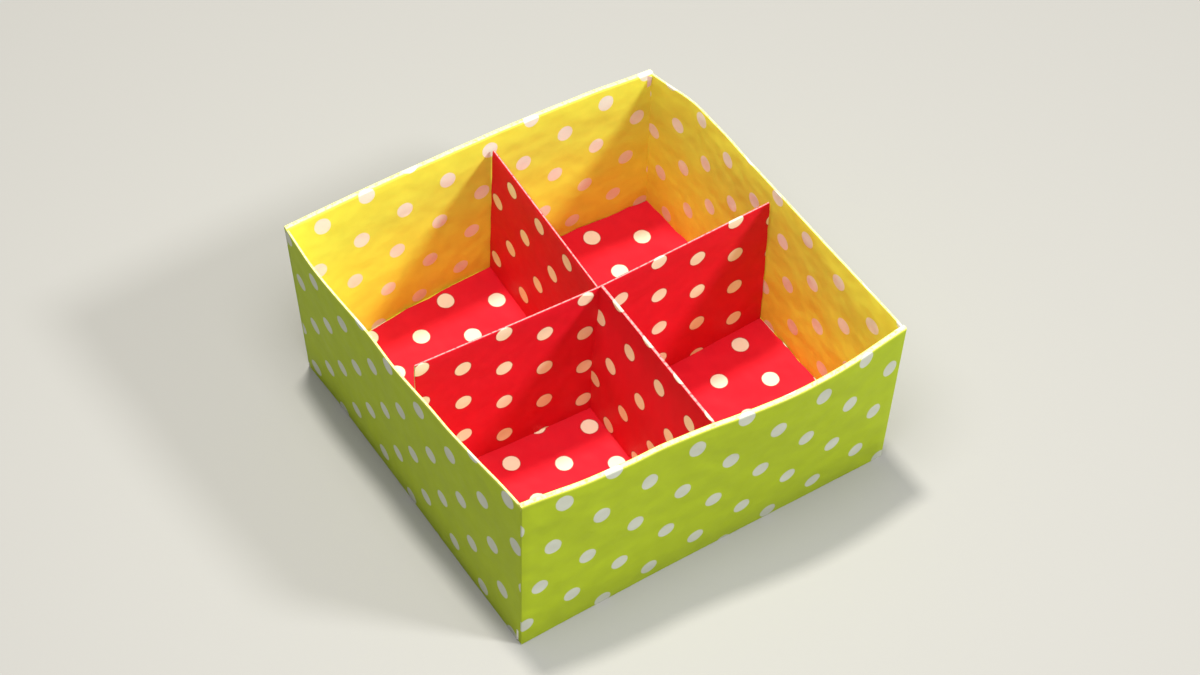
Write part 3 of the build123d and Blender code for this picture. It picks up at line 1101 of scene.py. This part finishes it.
    def build(self, material: bpy.types.Material) -> None:
        """Fold the cross, lean it as the hand left it and dress it.

        Args:
            material: The divider's paper.
        """
        sheet, *rest = [self.square(hand, back) for back in (1, -1) for hand in (-1, 1)]
        sheet.take_in(rest)
        sheet.piece.name = "red_sheet"
        self.close_folds(sheet)
        self.map_pleats(sheet)
        sheet.shift_points(self.curl)
        low = Vector((-self.reach_x, -self.reach_y, 0))
        high = Vector((self.reach_x, self.reach_y, self.ridge))
        sheet.bend(low, high, (len(self.edge_front), len(self.edge_left)), False, self.lean)
        self.map_floors(sheet)
        sheet.thicken(self.paper, even=False)
        sheet.finish(material, "divider_paper", "divider")


@dataclass(frozen=True)
class Lamp:
    """One soft round lamp, with its place and size in metres."""

    name: str
    place: tuple[float, float, float]
    size: float
    watts: float
    colour: str = "#FFFFFF"

    def hang(self, target: tuple[float, float, float]) -> None:
        """Hang the lamp so that it faces a place.

        Args:
            target: The place that it faces.
        """
        clear_bench()
        bpy.ops.object.light_add(type="AREA", location=self.place)
        lamp = bpy.context.object
        lamp.name = self.name
        lamp.data.shape = "DISK"
        lamp.data.size = self.size
        lamp.data.energy = self.watts
        lamp.data.color = linear(self.colour)[:3]
        aim = Vector(target) - Vector(self.place)
        lamp.rotation_euler = aim.to_track_quat("-Z", "Y").to_euler()


@dataclass
class Studio:
    """A pale floor, soft lamps and the camera, in metres."""

    floor_colour: str = "#A3A29E"
    floor_size: float = 4.0
    floor_drop: float = 0.00002
    floor_roughness: float = 0.9
    floor_specular: float = 0.1
    room_strength: float = 0.27
    target: tuple[float, float, float] = (0, 0, 0.012)
    lamps: tuple[Lamp, ...] = (
        Lamp("key", (0.01, 0.16, 0.68), 0.07, 4.4, "#FFFBF2"),
        Lamp("fill", (0.36, -0.36, 0.47), 0.12, 3.3),
        Lamp("overhead", (-0.035, -0.03, 0.20), 0.10, 0.25),
    )
    lens: float = 117.645  # millimetres, as is the sensor
    sensor: float = 36.0
    clip: Pair = (0.01, 10.0)
    camera_place: tuple[float, float, float] = (-0.178542, -0.247261, 0.404156)
    camera_right: tuple[float, float, float] = (0.832036, -0.553790, 0.032131)
    camera_back: tuple[float, float, float] = (-0.362464, -0.498905, 0.787219)

    def lay_floor(self) -> None:
        """Lay a wide floor of pale matt board just under the box, which takes soft shadows."""
        clear_bench()
        bpy.ops.mesh.primitive_grid_add(
            x_subdivisions=8, y_subdivisions=8, size=self.floor_size, location=(0, 0, -self.floor_drop)
        )
        floor = Workpiece(bpy.context.object, "floor").piece
        material = bpy.data.materials.new("matt_studio_floor")
        tree = empty_tree(material)
        inputs = {
            "Base Color": linear(self.floor_colour),
            "Roughness": self.floor_roughness,
            "Specular IOR Level": self.floor_specular,
        }
        shader = add_node(tree, "ShaderNodeBsdfPrincipled", None, inputs)
        add_node(tree, "ShaderNodeOutputMaterial", None, {"Surface": shader.outputs[0]})
        floor.data.materials.append(material)

    def light(self) -> None:
        """Light the room evenly, with a key lamp high behind, a fill and a faint lamp overhead."""
        world = bpy.data.worlds.new("studio")
        bpy.context.scene.world = world
        tree = empty_tree(world)
        inputs = {"Color": linear("#FFFFFF"), "Strength": self.room_strength}
        room = add_node(tree, "ShaderNodeBackground", None, inputs)
        add_node(tree, "ShaderNodeOutputWorld", None, {"Surface": room.outputs[0]})
        for lamp in self.lamps:
            lamp.hang(self.target)

    def set_camera(self) -> None:
        """Look down at one corner from the same angle as the picture."""
        clear_bench()
        bpy.ops.object.camera_add()
        camera = bpy.context.object
        camera.name = "camera"
        camera.data.lens = self.lens
        camera.data.sensor_width = self.sensor
        camera.data.clip_start, camera.data.clip_end = self.clip
        right, back = Vector(self.camera_right).normalized(), Vector(self.camera_back).normalized()
        turn = Matrix((right, back.cross(right), back)).transposed().to_4x4()
        camera.matrix_world = Matrix.Translation(self.camera_place) @ turn
        bpy.context.scene.camera = camera

    def build(self) -> None:
        """Set up the whole studio."""
        self.lay_floor()
        self.light()
        self.set_camera()
        bpy.context.scene.view_settings.view_transform = "Standard"


LIME_PAPER = PrintedPaper(
    name="lime_craft_paper_matt_print",
    dots=DotLattice(spacing=6.777, diameter=2.27, angle=-15.486, origin=(-2.181, 1.582)),
    # Painted light: past the rim, at 53 mm, the inside of the box is painted yellower than the lime outside.
    # It is palest over the rim and warmer towards the floor, for the glow of light bounced off the red
    # divider and let through the paper.
    ground_and_painted_glow=(
        (0.0, "#ADC020"),
        (52.7, "#ADC020"),
        (53.1, "#F2EE62"),
        (54.6, "#ECF04E"),
        (61.0, "#E0EA50"),
        (71.0, "#E8F04A"),
        (80.5, "#E8DC40"),
    ),
    # The inner dots are painted paler than the outer ones and warmer towards the floor, with the same painted
    # glow.
    dot_colours_and_painted_glow=((0.0, "#CDD0C0"), (52.7, "#CDD0C0"), (53.4, "#ECF2E2"), (64.0, "#ECEEDA"), (80.0, "#E8DCB4")),
    # Along the rim fold the print is lightened to pale yellow: partly real wear of the fold, and partly a
    # painted highlight where the rim faces the lamps.
    wear_and_highlight="#FAF8B4",
    wear_and_highlight_bands=((52.95, 53.75, 0.8),),
)
RED_PAPER = PrintedPaper(
    name="red_craft_paper_matt_print",
    dots=DotLattice(spacing=6.731, diameter=2.27, angle=90.0, origin=(0.0, 0.0)),
    ground_and_painted_glow=((0.0, "#D81228"), (120.0, "#D81228")),
    dot_colours_and_painted_glow=((0.0, "#F2E6CC"), (120.0, "#F2E6CC")),
    wear_and_highlight="#F0A9A4",
    wear_and_highlight_bands=((CREST - 0.09, CREST + 0.09, 0.75),),
    overlap="#A80A1C",
)


def main() -> None:
    """Build the two sheets and the studio, and report each piece."""
    logging.basicConfig(level=logging.INFO, format="%(name)s %(message)s")
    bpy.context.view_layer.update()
    Studio().build()
    FoldedBox().build(LIME_PAPER.build())
    PleatedDivider().build(RED_PAPER.build())


if __name__ == "__main__":
    main()
